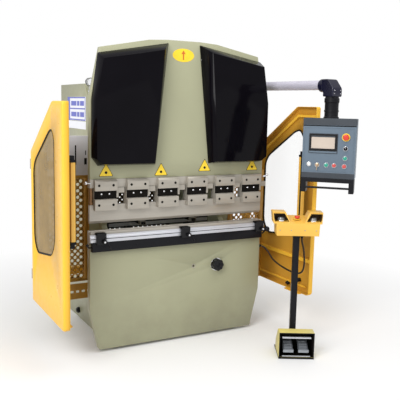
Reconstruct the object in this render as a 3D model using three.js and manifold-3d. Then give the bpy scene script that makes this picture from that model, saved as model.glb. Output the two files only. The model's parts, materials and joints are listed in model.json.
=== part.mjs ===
// Hydraulic press brake with side guards, a swinging control pendant and a foot pedestal.
// Millimetres, +Z up, the operator stands on the -Y side.
import * as THREE from "three";
import { mergeVertices } from "three/addons/utils/BufferGeometryUtils.js";
import Module from "manifold-3d";

const wasm = await Module();
wasm.setup();

// ---- driving dimensions ----
const GAP = 0.3; // clearance left between touching pieces
const HALF = 650; // half the length of the ram and the bed
const RAM_THICK = 40;
const BED_THICK = 50;
const RAM_LOW = 1150; // underside of the ram plate at rest
const RAM_SHOULDER = 1650; // where the ram's sides start to lean in
const RAM_CORNER = 1973;
const RAM_TOP = 2045;
const BED_LOW = 20;
const BED_CHAMFER = 297;
const BED_TOP = 735;
const DIE_TOP = 815;
const PUNCH_TIP = 864;
const PUNCH_Y = 21; // the bending line
const FRAME_IN = 440; // side frames, inner and outer face
const FRAME_OUT = 480;
const FRAME_DEPTH = 1175;
const FRAME_TOP = 1765;
const FRAME_SHOULDER = 1690;
const THROAT_DEPTH = 260;
const THROAT_TOP = 1180;
const FRAME_UPPER_Y = 84; // front edge of the side frames above the throat
const CYL_X = 460; // cylinder axes, in line with the side frames
const CYL_Y = 20;
const CLAMP_COUNT = 6;
const CLAMP_PITCH = 220;
const CLAMP_WIDTH = 150;
const GUARD_X = 919; // outer face of the side guards
const GUARD_DEEP = 42;
const SHEET = 4;
const MESH_Y = 300; // plane of the perforated side panels
const ARM_PIVOT = [740, 200]; // axis the pendant arm turns on, beside the right frame
const ARM_Z = 1778;
const COLUMN = [820, -532]; // axis of the console's swivel
const SWIVEL_Z = 1662;
const CONSOLE_TURN = THREE.MathUtils.degToRad(-46);
const POST_X = 632; // axis of the pedestal's post
const POST_Y = -462;
const PEDESTAL_TURN = THREE.MathUtils.degToRad(-28.3);
const HEAD_LOW = 762;

// ---- materials ----
function paint(color, roughness, metalness) {
  return new THREE.MeshStandardMaterial({ color, roughness, metalness });
}
const green = paint(0xa3a684, 0.45, 0.1);
const yellow = paint(0xf0c040, 0.45, 0.1);
const gloss = paint(0x0b0b0e, 0.08, 0.1);
const black = paint(0x17171a, 0.5, 0.1);
const steel = paint(0x9a9488, 0.35, 0.9);
const bright = paint(0xd0d0d6, 0.2, 1.0);
const grey = paint(0x6d7f8a, 0.45, 0.2);
const white = paint(0xd9d6dc, 0.5, 0.1);
const clear = paint(0xb8a15a, 0.1, 0.0);
const red = paint(0xc9302a, 0.35, 0.0);
const signal = paint(0x1fa37c, 0.35, 0.0);

// ---- shape helpers ----
function outline(points) {
  return new THREE.Shape(points.map(([a, b]) => new THREE.Vector2(a, b)));
}

function slab(points, depth) {
  return new THREE.ExtrudeGeometry(outline(points), { depth, bevelEnabled: false });
}

// outline in (x, z), filling y0 to y1
function frontSlab(points, y0, y1) {
  return slab(points, y1 - y0).rotateX(Math.PI / 2).translate(0, y1, 0);
}

// outline in (y, z), filling x0 to x1
function sideSlab(points, x0, x1) {
  const turn = new THREE.Matrix4().makeBasis(
    new THREE.Vector3(0, 1, 0), new THREE.Vector3(0, 0, 1), new THREE.Vector3(1, 0, 0));
  return slab(points, x1 - x0).applyMatrix4(turn).translate(x0, 0, 0);
}

function box(x0, x1, y0, y1, z0, z1) {
  const g = new THREE.BoxGeometry(x1 - x0, y1 - y0, z1 - z0);
  return g.translate((x0 + x1) / 2, (y0 + y1) / 2, (z0 + z1) / 2);
}

// cylinder along z, y or x, centred on the two other coordinates
function rodZ(r, x, y, z0, z1, sides = 24) {
  const g = new THREE.CylinderGeometry(r, r, z1 - z0, sides).rotateX(Math.PI / 2);
  return g.translate(x, y, (z0 + z1) / 2);
}

function rodY(r, x, z, y0, y1, sides = 24) {
  return new THREE.CylinderGeometry(r, r, y1 - y0, sides).translate(x, (y0 + y1) / 2, z);
}

function rodX(r, y, z, x0, x1, sides = 24) {
  const g = new THREE.CylinderGeometry(r, r, x1 - x0, sides).rotateZ(Math.PI / 2);
  return g.translate((x0 + x1) / 2, y, z);
}

function solid(geometry) {
  const bare = geometry.clone();
  bare.deleteAttribute("normal");
  bare.deleteAttribute("uv");
  const merged = mergeVertices(bare, 1e-4);
  const vertProperties = new Float32Array(merged.attributes.position.array);
  const triVerts = new Uint32Array(merged.index.array);
  return new wasm.Manifold(new wasm.Mesh({ numProp: 3, vertProperties, triVerts }));
}

function surface(manifold) {
  const mesh = manifold.getMesh();
  const g = new THREE.BufferGeometry();
  g.setAttribute("position", new THREE.BufferAttribute(new Float32Array(mesh.vertProperties), 3));
  g.setIndex(Array.from(mesh.triVerts));
  g.computeVertexNormals();
  return g;
}

function join(...pieces) {
  return surface(pieces.map(solid).reduce((whole, piece) => whole.add(piece)));
}

function cut(base, ...tools) {
  return surface(tools.map(solid).reduce((whole, tool) => whole.subtract(tool), solid(base)));
}

function common(a, b) {
  return surface(solid(a).intersect(solid(b)));
}

// the stretch from a to b on the right side (side 1), or the same mirrored to the left (side -1)
function span(side, a, b) {
  return side < 0 ? [-b, -a] : [a, b];
}

const machine = new THREE.Group();
const sides = [["left", -1], ["right", 1]];

function add(name, geometry, material, parent = machine) {
  const mesh = new THREE.Mesh(geometry, material);
  mesh.name = name;
  parent.add(mesh);
  return mesh;
}

// ---- side frames, bed and tank ----
const THROAT_CORNER = 60;
function frameOutline() {
  const front = BED_THICK + GAP;
  const throatLow = BED_TOP + 5;
  return [
    [front, 0], [FRAME_DEPTH, 0], [FRAME_DEPTH, FRAME_TOP], [600, FRAME_TOP],
    [560, FRAME_SHOULDER], [FRAME_UPPER_Y, FRAME_SHOULDER], [FRAME_UPPER_Y, THROAT_TOP],
    [THROAT_DEPTH - THROAT_CORNER, THROAT_TOP], [THROAT_DEPTH, THROAT_TOP - THROAT_CORNER],
    [THROAT_DEPTH, throatLow + THROAT_CORNER], [THROAT_DEPTH - THROAT_CORNER, throatLow],
    [front, throatLow],
  ];
}

// the right frame carries a bracket and the boss that the pendant arm turns on
const BRACKET = { half: 28, z0: 1600, z1: 1660 };
const HUB_R = 42;
const HUB_LOW = ARM_Z - 45;
function sideFrame(side) {
  const plate = sideSlab(frameOutline(), ...span(side, FRAME_IN, FRAME_OUT));
  if (side < 0) return plate;
  const [x, y] = ARM_PIVOT;
  const bracket = box(FRAME_OUT - 10, x, y - BRACKET.half, y + BRACKET.half, BRACKET.z0, BRACKET.z1);
  return join(plate, bracket, rodZ(HUB_R, x, y, BRACKET.z0, HUB_LOW));
}

const LUBE_HOLE = [104, 518];
const WHEEL = [286, 514];
function bedPlate() {
  const outlinePoints = [
    [-584, BED_LOW], [584, BED_LOW], [HALF, BED_CHAMFER], [HALF, BED_TOP],
    [-HALF, BED_TOP], [-HALF, BED_CHAMFER],
  ];
  const plate = frontSlab(outlinePoints, 0, BED_THICK);
  const hole = rodY(9, LUBE_HOLE[0], LUBE_HOLE[1], -1, 30, 12);
  const spindle = rodY(10.3, WHEEL[0], WHEEL[1], -1, 40, 16);
  return cut(plate, hole, spindle);
}

const TANK = { y0: 520, y1: 1100, z0: 1330, z1: 1700, wall: 6 };
function oilTank() {
  const x = FRAME_IN - GAP;
  const { y0, y1, z0, z1, wall } = TANK;
  const shell = box(-x, x, y0, y1, z0, z1);
  const inside = box(wall - x, x - wall, y0 + wall, y1 - wall, z0 + wall, z1 - wall);
  return cut(shell, inside, rodZ(30, -300, 800, z1 - 2 * wall, z1 + 1, 16));
}

function pumpMotor() {
  const z = TANK.z1 + 120;
  const foot = box(20, 260, 730, 870, TANK.z1 + GAP, z - 60);
  return join(rodX(95, 800, z, -20, 300, 20), rodX(60, 800, z, -120, -19, 16), foot);
}

function cabinet() {
  const [x0, x1, y0, y1, z0, z1] = [FRAME_OUT + GAP, 640, 620, 1020, 700, 1500];
  const inside = box(x0 + 2, x1 - 2, y0 + 2, y1 - 2, z0 + 2, z1 - 2);
  return cut(box(x0, x1, y0, y1, z0, z1), inside, rodZ(25, 560, 820, z0 - 1, z0 + 4, 12));
}

sides.forEach(([label, side]) => add(`${label}_side_frame`, sideFrame(side), green));
add("bed_plate", bedPlate(), green);
add("oil_tank", oilTank(), green);
add("pump_motor", pumpMotor(), grey);
add("electrical_cabinet", cabinet(), green);

// ---- ram, cylinders and their covers ----
const POCKET = { half: 85, z0: 1290, z1: 1890 };
function ramPlate() {
  const outlinePoints = [
    [-HALF, RAM_LOW + GAP], [HALF, RAM_LOW + GAP], [HALF, RAM_SHOULDER], [583, RAM_CORNER],
    [250, RAM_TOP - 8], [120, RAM_TOP], [-120, RAM_TOP], [-250, RAM_TOP - 8],
    [-583, RAM_CORNER], [-HALF, RAM_SHOULDER],
  ];
  const pockets = sides.map(([, side]) => {
    const [x0, x1] = span(side, CYL_X - POCKET.half, CYL_X + POCKET.half);
    return box(x0, x1, -1, RAM_THICK + 1, POCKET.z0, POCKET.z1);
  });
  return cut(frontSlab(outlinePoints, 0, RAM_THICK), ...pockets);
}

// barrel with a rear block that bolts to the front edge of the side frame
const BARREL = { r: 60, bore: 26, z0: 1400, z1: 1780 };
const ROD_R = 22;
function cylinder(side) {
  const barrel = rodZ(BARREL.r, side * CYL_X, CYL_Y, BARREL.z0, BARREL.z1, 28);
  const block = box(side * CYL_X - 50, side * CYL_X + 50, 50, FRAME_UPPER_Y - GAP, 1440, 1670);
  const bore = rodZ(BARREL.bore, side * CYL_X, CYL_Y, BARREL.z0 - 1, BARREL.z1 - 30, 24);
  return cut(join(barrel, block), bore);
}

function pistonRod(side) {
  return rodZ(ROD_R, side * CYL_X, CYL_Y, POCKET.z0 + GAP, BARREL.z1 - 100, 24);
}

// hollow faceted cover: base outline on the ram, smaller front face, open at the back
const COVER_DEEP = 78;
const COVER_GAP = 3;
function coverLoop(inset) {
  return [
    [115 + 62 * inset, 2024 - 52 * inset], [600 - 14 * inset, 1937 - 36 * inset],
    [641 - 12 * inset, 1650], [641 - 12 * inset, 1290 - 8 * inset],
    [600 - 12 * inset, 1236 + 16 * inset], [200 + 34 * inset, 1236 + 16 * inset],
  ];
}

function coverBlock(side, deep, shrink) {
  const back = coverLoop(0).map(([x, z]) => [side * x, z]);
  const front = coverLoop(1).map(([x, z]) => [side * x, z]);
  const centre = [side * 400, 1620];
  const pull = ([x, z]) => [x + Math.sign(centre[0] - x) * shrink, z + Math.sign(centre[1] - z) * shrink];
  const n = back.length;
  const points = [];
  back.map(pull).forEach(([x, z]) => points.push(x, -COVER_GAP + (shrink ? 1 : 0), z));
  front.map(pull).forEach(([x, z]) => points.push(x, -COVER_GAP - deep, z));
  const faces = [];
  for (let i = 0; i < n; i += 1) {
    const j = (i + 1) % n;
    faces.push(i, i + n, j, j, i + n, j + n);
  }
  for (let i = 1; i < n - 1; i += 1) {
    faces.push(0, i, i + 1, n, n + i + 1, n + i);
  }
  const g = new THREE.BufferGeometry();
  g.setAttribute("position", new THREE.BufferAttribute(new Float32Array(points), 3));
  g.setIndex(side < 0 ? faces.reverse() : faces);
  return g;
}

function cylinderCover(side) {
  return cut(coverBlock(side, COVER_DEEP, 0), coverBlock(side, COVER_DEEP - SHEET, SHEET));
}

add("ram_plate", ramPlate(), green);
sides.forEach(([label, side]) => {
  add(`${label}_cylinder`, cylinder(side), steel);
  add(`${label}_piston_rod`, pistonRod(side), bright);
  add(`${label}_cylinder_cover`, cylinderCover(side), gloss);
});

// ---- tooling: clamp beam, clamps, punch and die ----
const BEAM_LOW = 1095;
const CLAMP_LOW = 952;
const CLAMP_FRONT = -30;
add("clamp_beam", box(-HALF, HALF, 0, RAM_THICK, BEAM_LOW, RAM_LOW), steel);

function clamp(centre) {
  const profile = [
    [CLAMP_FRONT, CLAMP_LOW], [8 - GAP, CLAMP_LOW], [8 - GAP, 986], [34 + GAP, 986], [34 + GAP, CLAMP_LOW],
    [45, CLAMP_LOW], [45, BEAM_LOW - GAP], [-GAP, BEAM_LOW - GAP], [-GAP, 1148],
    [CLAMP_FRONT + 12, 1148], [CLAMP_FRONT, 1136], [CLAMP_FRONT, 1078], [-8, 1078], [-8, 1022],
    [CLAMP_FRONT, 1022],
  ];
  return sideSlab(profile, centre - CLAMP_WIDTH / 2, centre + CLAMP_WIDTH / 2);
}

for (let i = 0; i < CLAMP_COUNT; i += 1) {
  const centre = (i - (CLAMP_COUNT - 1) / 2) * CLAMP_PITCH;
  add(`punch_clamp_${i + 1}`, clamp(centre), steel);
}

const punchProfile = [
  [PUNCH_Y, PUNCH_TIP], [34, PUNCH_TIP + 18], [34, 985], [8, 985], [8, PUNCH_TIP + 18],
];
add("punch", sideSlab(punchProfile, -HALF, HALF), steel);

const V_HALF = 10;
const dieProfile = [
  [0, BED_TOP + GAP], [49, BED_TOP + GAP], [49, DIE_TOP], [PUNCH_Y + V_HALF, DIE_TOP],
  [PUNCH_Y, DIE_TOP - 14], [PUNCH_Y - V_HALF, DIE_TOP], [-12, DIE_TOP], [-12, 750 + GAP], [0, 750 + GAP],
];
add("die_block", sideSlab(dieProfile, -HALF, HALF), steel);

// ---- front rail with its sheet slides ----
const RAIL = { half: 660, y0: -38, y1: -13, z0: 750, z1: 797 };
const railProfile = [
  [RAIL.y0, RAIL.z0], [RAIL.y1, RAIL.z0], [RAIL.y1, RAIL.z1], [RAIL.y0 + 6, RAIL.z1],
  [RAIL.y0 + 6, RAIL.z1 - 10], [RAIL.y0, RAIL.z1 - 14],
];
add("front_rail", sideSlab(railProfile, -RAIL.half, RAIL.half), bright);
add("rail_backing_bar", box(-645, 645, -34, -GAP, 686, RAIL.z0 - GAP), black);

const SLIDE_HALF = 32;
[["left", -592], ["middle", 10], ["right", 608]].forEach(([label, x]) => {
  const body = box(x - SLIDE_HALF, x + SLIDE_HALF, -62, RAIL.y0 - GAP, 738, 812);
  const hook = box(x - SLIDE_HALF, x + SLIDE_HALF, -62, -16, RAIL.z1 + GAP, 812);
  const knob = rodY(13, x + 14, 758, -84, -61, 16);
  add(`${label}_sheet_slide`, join(body, hook, knob), black);
});

// ---- stop handwheel on the bed ----
function handwheel() {
  const rim = rodY(43, WHEEL[0], WHEEL[1], -46, -8, 32);
  const shaft = rodY(10, WHEEL[0], WHEEL[1], -9, 36, 16);
  return join(rim, shaft);
}
add("stop_handwheel", handwheel(), black);

// ---- back gauge ----
function gaugeBase() {
  const rails = sides.map(([, side]) => {
    const [x0, x1] = span(side, 230, 270);
    return box(x0, x1, BED_THICK + GAP, 640, 650, 690);
  });
  return join(...rails, box(-230, 230, 600, 640, 650, 690));
}

const GAUGE_Y = 340;
function gaugeBeam() {
  const beam = box(-400, 400, GAUGE_Y, GAUGE_Y + 40, 760, 800);
  const legs = [];
  sides.forEach(([, side]) => {
    const [x0, x1] = span(side, 220, 280);
    legs.push(box(x0, x1, GAUGE_Y - 20, GAUGE_Y + 60, 690 + GAP, 770));
    const [f0, f1] = span(side, 180, 215);
    legs.push(box(f0, f1, 190, GAUGE_Y + 40, 799, 822));
  });
  return join(beam, ...legs);
}
add("backgauge_base", gaugeBase(), black);
add("backgauge_beam", gaugeBeam(), black);

// ---- perforated panels and the plain cover above the left one ----
const MESH_LOW = 414;
const MESH_HIGH = 1146;
function sideMesh(side) {
  const sheet = box(...span(side, 560, 872), MESH_Y, MESH_Y + SHEET, MESH_LOW, MESH_HIGH);
  const tabs = [MESH_LOW + 30, MESH_HIGH - 70].map((z) => (
    box(...span(side, FRAME_OUT + GAP, 562), MESH_Y, MESH_Y + SHEET, z, z + 40)));
  return join(sheet, ...tabs);
}
sides.forEach(([label, side]) => add(`${label}_mesh_panel`, sideMesh(side), yellow));
const rearX = FRAME_IN - GAP;
add("rear_mesh_panel", box(-rearX, rearX, 1080, 1080 + SHEET, 560, TANK.z0 - 30), yellow);
add("side_cover_plate", box(-760, -FRAME_OUT - GAP, MESH_Y, MESH_Y + 30, MESH_HIGH + GAP, 1410), white);

// ---- side guards ----
const guardOutline = [
  [-310, 302], [-292, 287], [417, 287], [417, 1310], [-90, 1636], [-310, 1636],
];
const windowOutline = [
  [-140, 790], [-70, 700], [270, 650], [340, 730], [340, 1195], [300, 1255], [-30, 1455],
  [-90, 1470], [-140, 1415],
];

function shrunk(points, amount, cy, cz) {
  return points.map(([y, z]) => [y + Math.sign(cy - y) * amount, z + Math.sign(cz - z) * amount]);
}

function guardPan(side) {
  const outer = sideSlab(guardOutline, ...span(side, GUARD_X - GUARD_DEEP, GUARD_X));
  const inner = shrunk(guardOutline, SHEET, 50, 900);
  const hollow = sideSlab(inner, ...span(side, GUARD_X - GUARD_DEEP - 1, GUARD_X - SHEET));
  const view = sideSlab(windowOutline, ...span(side, GUARD_X - 20, GUARD_X + 5));
  return cut(outer, hollow, view);
}

function guardWindow(side) {
  const pane = shrunk(windowOutline, -12, 100, 1050);
  return sideSlab(pane, ...span(side, GUARD_X - SHEET - 6, GUARD_X - SHEET - GAP));
}

// a hinge post behind the guard, held by two arms from the side frame
function guardPost(side) {
  const post = box(...span(side, 800, 850), 436, 486, 300, 1290);
  const arms = [430, 1180].map((z) => box(...span(side, FRAME_OUT + GAP, 805), 441, 481, z, z + 50));
  return join(post, ...arms);
}

function lightCurtain(side) {
  const bar = box(...span(side, 818, 850), -250, -205, 795, 1300);
  const arms = [770, 1299].map((z) => (
    box(...span(side, 826, GUARD_X - SHEET - GAP), -244, -211, z, z + 26)));
  return join(bar, ...arms);
}

sides.forEach(([label, side]) => {
  add(`${label}_guard`, guardPan(side), yellow);
  add(`${label}_guard_window`, guardWindow(side), clear);
  add(`${label}_light_curtain`, lightCurtain(side), yellow);
  add(`${label}_guard_post`, guardPost(side), yellow);
});

// ---- pendant arm and console ----
const ARM_REACH = Math.hypot(COLUMN[0] - ARM_PIVOT[0], COLUMN[1] - ARM_PIVOT[1]);
const armGroup = new THREE.Group();
armGroup.position.set(ARM_PIVOT[0], ARM_PIVOT[1], 0);
armGroup.rotation.z = Math.atan2(COLUMN[1] - ARM_PIVOT[1], COLUMN[0] - ARM_PIVOT[0]);
machine.add(armGroup);

// drawn along x, from the pivot to the console's swivel
const ELBOW_HALF = 45;
const ELBOW_TOP = ARM_Z + 38;
function pendantArm() {
  const end = ARM_REACH;
  const near = end - ELBOW_HALF;
  const far = end + ELBOW_HALF;
  const tube = rodX(32, 0, ARM_Z, 30, near + 10, 24);
  const hub = rodZ(HUB_R, 0, 0, HUB_LOW + GAP, ARM_Z + 40, 24);
  const collar = box(near - 55, near + 1, -48, 48, ARM_Z - 45, ELBOW_TOP - 1);
  const elbow = [
    [near, SWIVEL_Z + GAP], [far, SWIVEL_Z + GAP], [far, ARM_Z - 21], [end - 5, ELBOW_TOP], [near, ELBOW_TOP],
  ];
  return join(tube, hub, collar, frontSlab(elbow, -ELBOW_HALF, ELBOW_HALF));
}
add("pendant_arm", pendantArm(), black, armGroup);

const consoleGroup = new THREE.Group();
consoleGroup.position.set(COLUMN[0], COLUMN[1], 0);
consoleGroup.rotation.z = CONSOLE_TURN;
machine.add(consoleGroup);

const CONSOLE = { half: 172, face: -51, back: 77, low: 1170, high: 1563, wall: 3 };
const STEM_R = 5;
const buttonSpots = {
  console_estop: [108, 1443], console_selector: [108, 1370], green_button_a: [-11, 1259],
  red_button_a: [40, 1258], green_button_b: [108, 1307], red_button_b: [105, 1255],
  key_switch: [-70, 1258],
};

// box with its neck above, and the bridge, legs and grip bar below
function consoleBox() {
  const { half, face, back, low, high, wall } = CONSOLE;
  const shell = box(-half, half, face, back, low, high);
  const inside = box(wall - half, half - wall, face + wall, back - wall, low + wall, high - wall);
  const holes = Object.values(buttonSpots).map(([x, z]) => (
    rodY(STEM_R + 1, x, z, face - 1, face + wall + 1, 12)));
  const hollow = cut(shell, inside, ...holes);
  const neck = rodZ(46, 0, 0, high - 2, SWIVEL_Z, 24);
  const bridge = box(-half, half, face, 33, low - 27, low + 1);
  const legs = sides.map(([, side]) => box(...span(side, 139, half), face, 33, low - 95, low - 26));
  const grip = box(-141, 141, face, face + 14, low - 70, low - 55);
  return join(hollow, neck, bridge, ...legs, grip);
}
add("console_box", consoleBox(), grey, consoleGroup);

function pushButton([x, z], r, out, thick) {
  const face = CONSOLE.face;
  return join(
    rodY(r, x, z, face - out - thick, face - out, 20),
    rodY(STEM_R, x, z, face - out - 1, face + 12, 12));
}

// round knob with a grip across it, both standing on a stem through the face
function turnKnob([x, z], halfGrip, out, down, up) {
  const face = CONSOLE.face;
  return join(
    rodY(12, x, z, face - 9, face - 1, 20),
    rodY(STEM_R, x, z, face - 2, face + 12, 12),
    box(x - halfGrip, x + halfGrip, face - out, face - 8, z - down, z + up));
}

add("console_estop", pushButton(buttonSpots.console_estop, 20, 7, 16), red, consoleGroup);
add("console_selector", turnKnob(buttonSpots.console_selector, 4, 25, 12, 12), black, consoleGroup);
add("key_switch", turnKnob(buttonSpots.key_switch, 2, 30, 33, 5), bright, consoleGroup);
["a", "b"].forEach((row) => {
  [["green", signal], ["red", red]].forEach(([colour, material]) => {
    const name = `${colour}_button_${row}`;
    add(name, pushButton(buttonSpots[name], 12.5, 5, 8), material, consoleGroup);
  });
});

// ---- foot pedestal ----
const pedestal = new THREE.Group();
pedestal.position.set(POST_X, POST_Y, 0);
pedestal.rotation.z = PEDESTAL_TURN;
machine.add(pedestal);

const FOOT = 6; // thickness of the foot plate
const HOUSING = { half: 115, front: -212, back: -32, top: 176, wall: 5 };
function pedalHousing() {
  const { half, front, back, top, wall } = HOUSING;
  const low = FOOT + GAP;
  const profile = [[front, low], [back, low], [back, 70], [front + 85, top], [front, top]];
  const inner = [
    [front - 1, low + wall], [back - wall, low + wall], [back - wall, 68], [front + 82, top - wall],
    [front - 1, top - wall],
  ];
  return cut(sideSlab(profile, -half, half), sideSlab(inner, wall - half, half - wall));
}

const PEDAL_HINGE = [-66, 92];
function pedal(side) {
  const [y, z] = PEDAL_HINGE;
  const profile = [
    [y + 6, z], [y, z + 6], [y - 30, z - 2], [y - 125, z - 46],
    [y - 125, z - 57], [y - 30, z - 14], [y, z - 6],
  ];
  return sideSlab(profile, ...span(side, 16, 84));
}

const HEAD_RISE = 28; // the head is drawn this far below its place
function post() {
  return join(box(-20, 20, -20, 20, FOOT - 1, HEAD_LOW + HEAD_RISE), box(-116, 116, -214, 30, 0, FOOT));
}

const HOOD = { floor: 852, roof: 905, top: 915 };
const hoodOutline = [[44, 841], [160, 841], [168, HOOD.top], [80, HOOD.top]];
const pocketOutline = [[56, HOOD.floor], [154, HOOD.floor], [161, HOOD.roof], [88, HOOD.roof]];

// each hood leans away from the middle and is open at the front
function pedestalHead() {
  const low = HEAD_LOW + GAP;
  const desk = sideSlab([[-70, low], [70, low], [70, 880], [-70, 845]], -170, 170);
  const taper = frontSlab([[-140, low - 1], [140, low - 1], [146, 890], [-146, 890]], -80, 80);
  const hoodSide = sideSlab([[-58, 840], [70, 840], [70, HOOD.top], [-30, HOOD.top]], -170, 170);
  const hoods = sides.map(([, side]) => (
    common(hoodSide, frontSlab(hoodOutline.map(([x, z]) => [side * x, z]), -80, 80))));
  const pockets = sides.map(([, side]) => (
    frontSlab(pocketOutline.map(([x, z]) => [side * x, z]), -90, 45)));
  const holes = sides.map(([, side]) => rodZ(10.5, side * 107, -8, 836, 860, 12));
  return cut(join(common(desk, taper), ...hoods), ...pockets, ...holes, rodZ(8.5, 0, -5, 845, 890, 12));
}

function palmButton(side) {
  return join(rodZ(24, side * 107, -8, 858, 878, 20), rodZ(10, side * 107, -8, 842, 859, 12));
}

const headGroup = new THREE.Group();
headGroup.position.z = HEAD_RISE;
pedestal.add(headGroup);
add("pedestal_post", post(), black, pedestal);
add("pedal_housing", pedalHousing(), yellow, pedestal);
add("pedestal_head", pedestalHead(), yellow, headGroup);
sides.forEach(([label, side]) => {
  add(`${label}_pedal`, pedal(side), grey, pedestal);
  add(`${label}_palm_button`, palmButton(side), black, headGroup);
});
add("pedestal_estop", join(rodZ(18, 0, -5, 873, 888, 20), rodZ(8, 0, -5, 852, 874, 12)), red, headGroup);

// ---- cable from the bed's right edge to the pedestal head ----
const CABLE_ROUTE = [
  [HALF + GAP, 22, 611], [668, 22, 611], [692, 6, 603], [708, -30, 575], [716, -70, 535],
  [722, -130, 508], [727, -200, 492], [731, -270, 483], [733, -330, 482], [730, -385, 492],
  [721, -430, 520], [708, -462, 570], [694, -478, 630], [680, -484, 690], [666.5, -480.7, 745],
  [665.5, -480, HEAD_LOW + HEAD_RISE],
];
const CABLE_R = 6;
const CABLE_SIDES = 8;
function cable() {
  const route = new THREE.CatmullRomCurve3(CABLE_ROUTE.map((p) => new THREE.Vector3(...p)));
  const rim = Array.from({ length: CABLE_SIDES }, (_, i) => {
    const turn = (i / CABLE_SIDES) * Math.PI * 2;
    return [CABLE_R * Math.cos(turn), CABLE_R * Math.sin(turn)];
  });
  return new THREE.ExtrudeGeometry(outline(rim), {
    steps: 56, bevelEnabled: false, extrudePath: route,
  });
}
add("pedestal_cable", cable(), black);

// ---- origin at the middle of the footprint, on the floor ----
const bounds = new THREE.Box3().setFromObject(machine, true);
const part = new THREE.Group();
machine.position.set(-(bounds.min.x + bounds.max.x) / 2, -(bounds.min.y + bounds.max.y) / 2, 0);
part.add(machine);
export default part;
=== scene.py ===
import json
import math

import bmesh
import bpy
from mathutils import Matrix, Vector


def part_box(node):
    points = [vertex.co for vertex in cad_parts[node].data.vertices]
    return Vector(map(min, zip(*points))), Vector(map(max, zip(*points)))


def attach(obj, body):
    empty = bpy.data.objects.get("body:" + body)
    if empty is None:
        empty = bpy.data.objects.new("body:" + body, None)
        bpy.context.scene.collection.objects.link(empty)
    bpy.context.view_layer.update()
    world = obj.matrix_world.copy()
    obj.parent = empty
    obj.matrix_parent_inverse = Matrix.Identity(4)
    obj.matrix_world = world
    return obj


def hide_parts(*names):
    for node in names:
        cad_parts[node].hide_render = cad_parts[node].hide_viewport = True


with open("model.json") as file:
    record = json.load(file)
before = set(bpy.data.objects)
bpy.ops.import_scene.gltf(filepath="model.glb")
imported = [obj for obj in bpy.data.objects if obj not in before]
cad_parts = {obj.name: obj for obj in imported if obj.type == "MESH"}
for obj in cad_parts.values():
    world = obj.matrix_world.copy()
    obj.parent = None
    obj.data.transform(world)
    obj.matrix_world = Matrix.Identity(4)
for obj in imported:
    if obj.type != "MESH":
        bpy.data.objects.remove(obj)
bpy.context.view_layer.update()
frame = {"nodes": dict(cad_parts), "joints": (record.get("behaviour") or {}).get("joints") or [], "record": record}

# ---- places ----
# Lengths are millimetres. MACHINE starts at the middle of the bed's front face, on the floor.
MM = 0.001
SCALE = Matrix.Scale(MM, 4)
JOINTS = {joint["name"]: joint for joint in frame["joints"]}
SLOTS = {part["node"]: part["material_slot"] for part in frame["record"]["subparts"]}
BODY = {node: body for body, nodes in frame["record"]["behaviour"]["bodies"].items() for node in nodes}


def middle(node):
    low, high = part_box(node)
    return (low + high) / 2


def turned_place(point, turn):
    return Matrix.Translation((point[0], point[1], 0)) @ Matrix.Rotation(turn, 4, "Z") @ SCALE


bed_low, bed_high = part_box("bed_plate")
MACHINE = turned_place(((bed_low.x + bed_high.x) / 2, bed_low.y), 0)

face_axis = JOINTS["selector_turn"]["axis"]
CONSOLE = turned_place(JOINTS["console_swivel"]["pos_m"], math.atan2(-face_axis[0], face_axis[1]))

arm_line = Vector(JOINTS["console_swivel"]["pos_m"]) - Vector(JOINTS["arm_swing"]["pos_m"])
ARM = turned_place(JOINTS["arm_swing"]["pos_m"], math.atan2(arm_line.y, arm_line.x))
REACH = math.hypot(arm_line.x, arm_line.y) / MM  # from the arm's pivot to the console's swivel

PALM_BACK = 8  # the palm buttons stand this far in front of the pedestal's post
palm_line = middle("right_palm_button") - middle("left_palm_button")
palm_turn = math.atan2(palm_line.y, palm_line.x)
palm_centre = (middle("right_palm_button") + middle("left_palm_button")) / 2
post_point = palm_centre - Matrix.Rotation(palm_turn, 3, "Z") @ Vector((0, -PALM_BACK * MM, 0))
PEDESTAL = turned_place(post_point, palm_turn)
HEAD_RISE = 28  # the head's heights are counted from a level this far above the floor
HEAD = PEDESTAL @ Matrix.Translation((0, 0, HEAD_RISE))
SIDES = (("left", -1), ("right", 1))


def span(side, a, b):
    """Two distances from the middle plane as a low and a high coordinate on one side of it."""
    return sorted((side * a, side * b))


def grid(first, second):
    return [(a, b) for a in first for b in second]


# ---- camera ----
CAMERA_SPOT = (-1975, -3867, 1620)
YAW, PITCH, ROLL = math.radians(28.64), math.radians(8.24), math.radians(1.25)
FOCAL_LENGTH = 58.0
LENS_SHIFT = 0.0023


def make_camera():
    data = bpy.data.cameras.new("camera")
    data.lens = FOCAL_LENGTH
    data.shift_x = LENS_SHIFT
    camera = bpy.data.objects.new("camera", data)
    place = Matrix.Translation(MACHINE @ Vector(CAMERA_SPOT))
    turn = Matrix.Rotation(-YAW, 4, "Z") @ Matrix.Rotation(math.pi / 2 - PITCH, 4, "X")
    camera.matrix_world = place @ turn @ Matrix.Rotation(ROLL, 4, "Z")
    bpy.context.collection.objects.link(camera)
    bpy.context.scene.camera = camera


make_camera()


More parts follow.
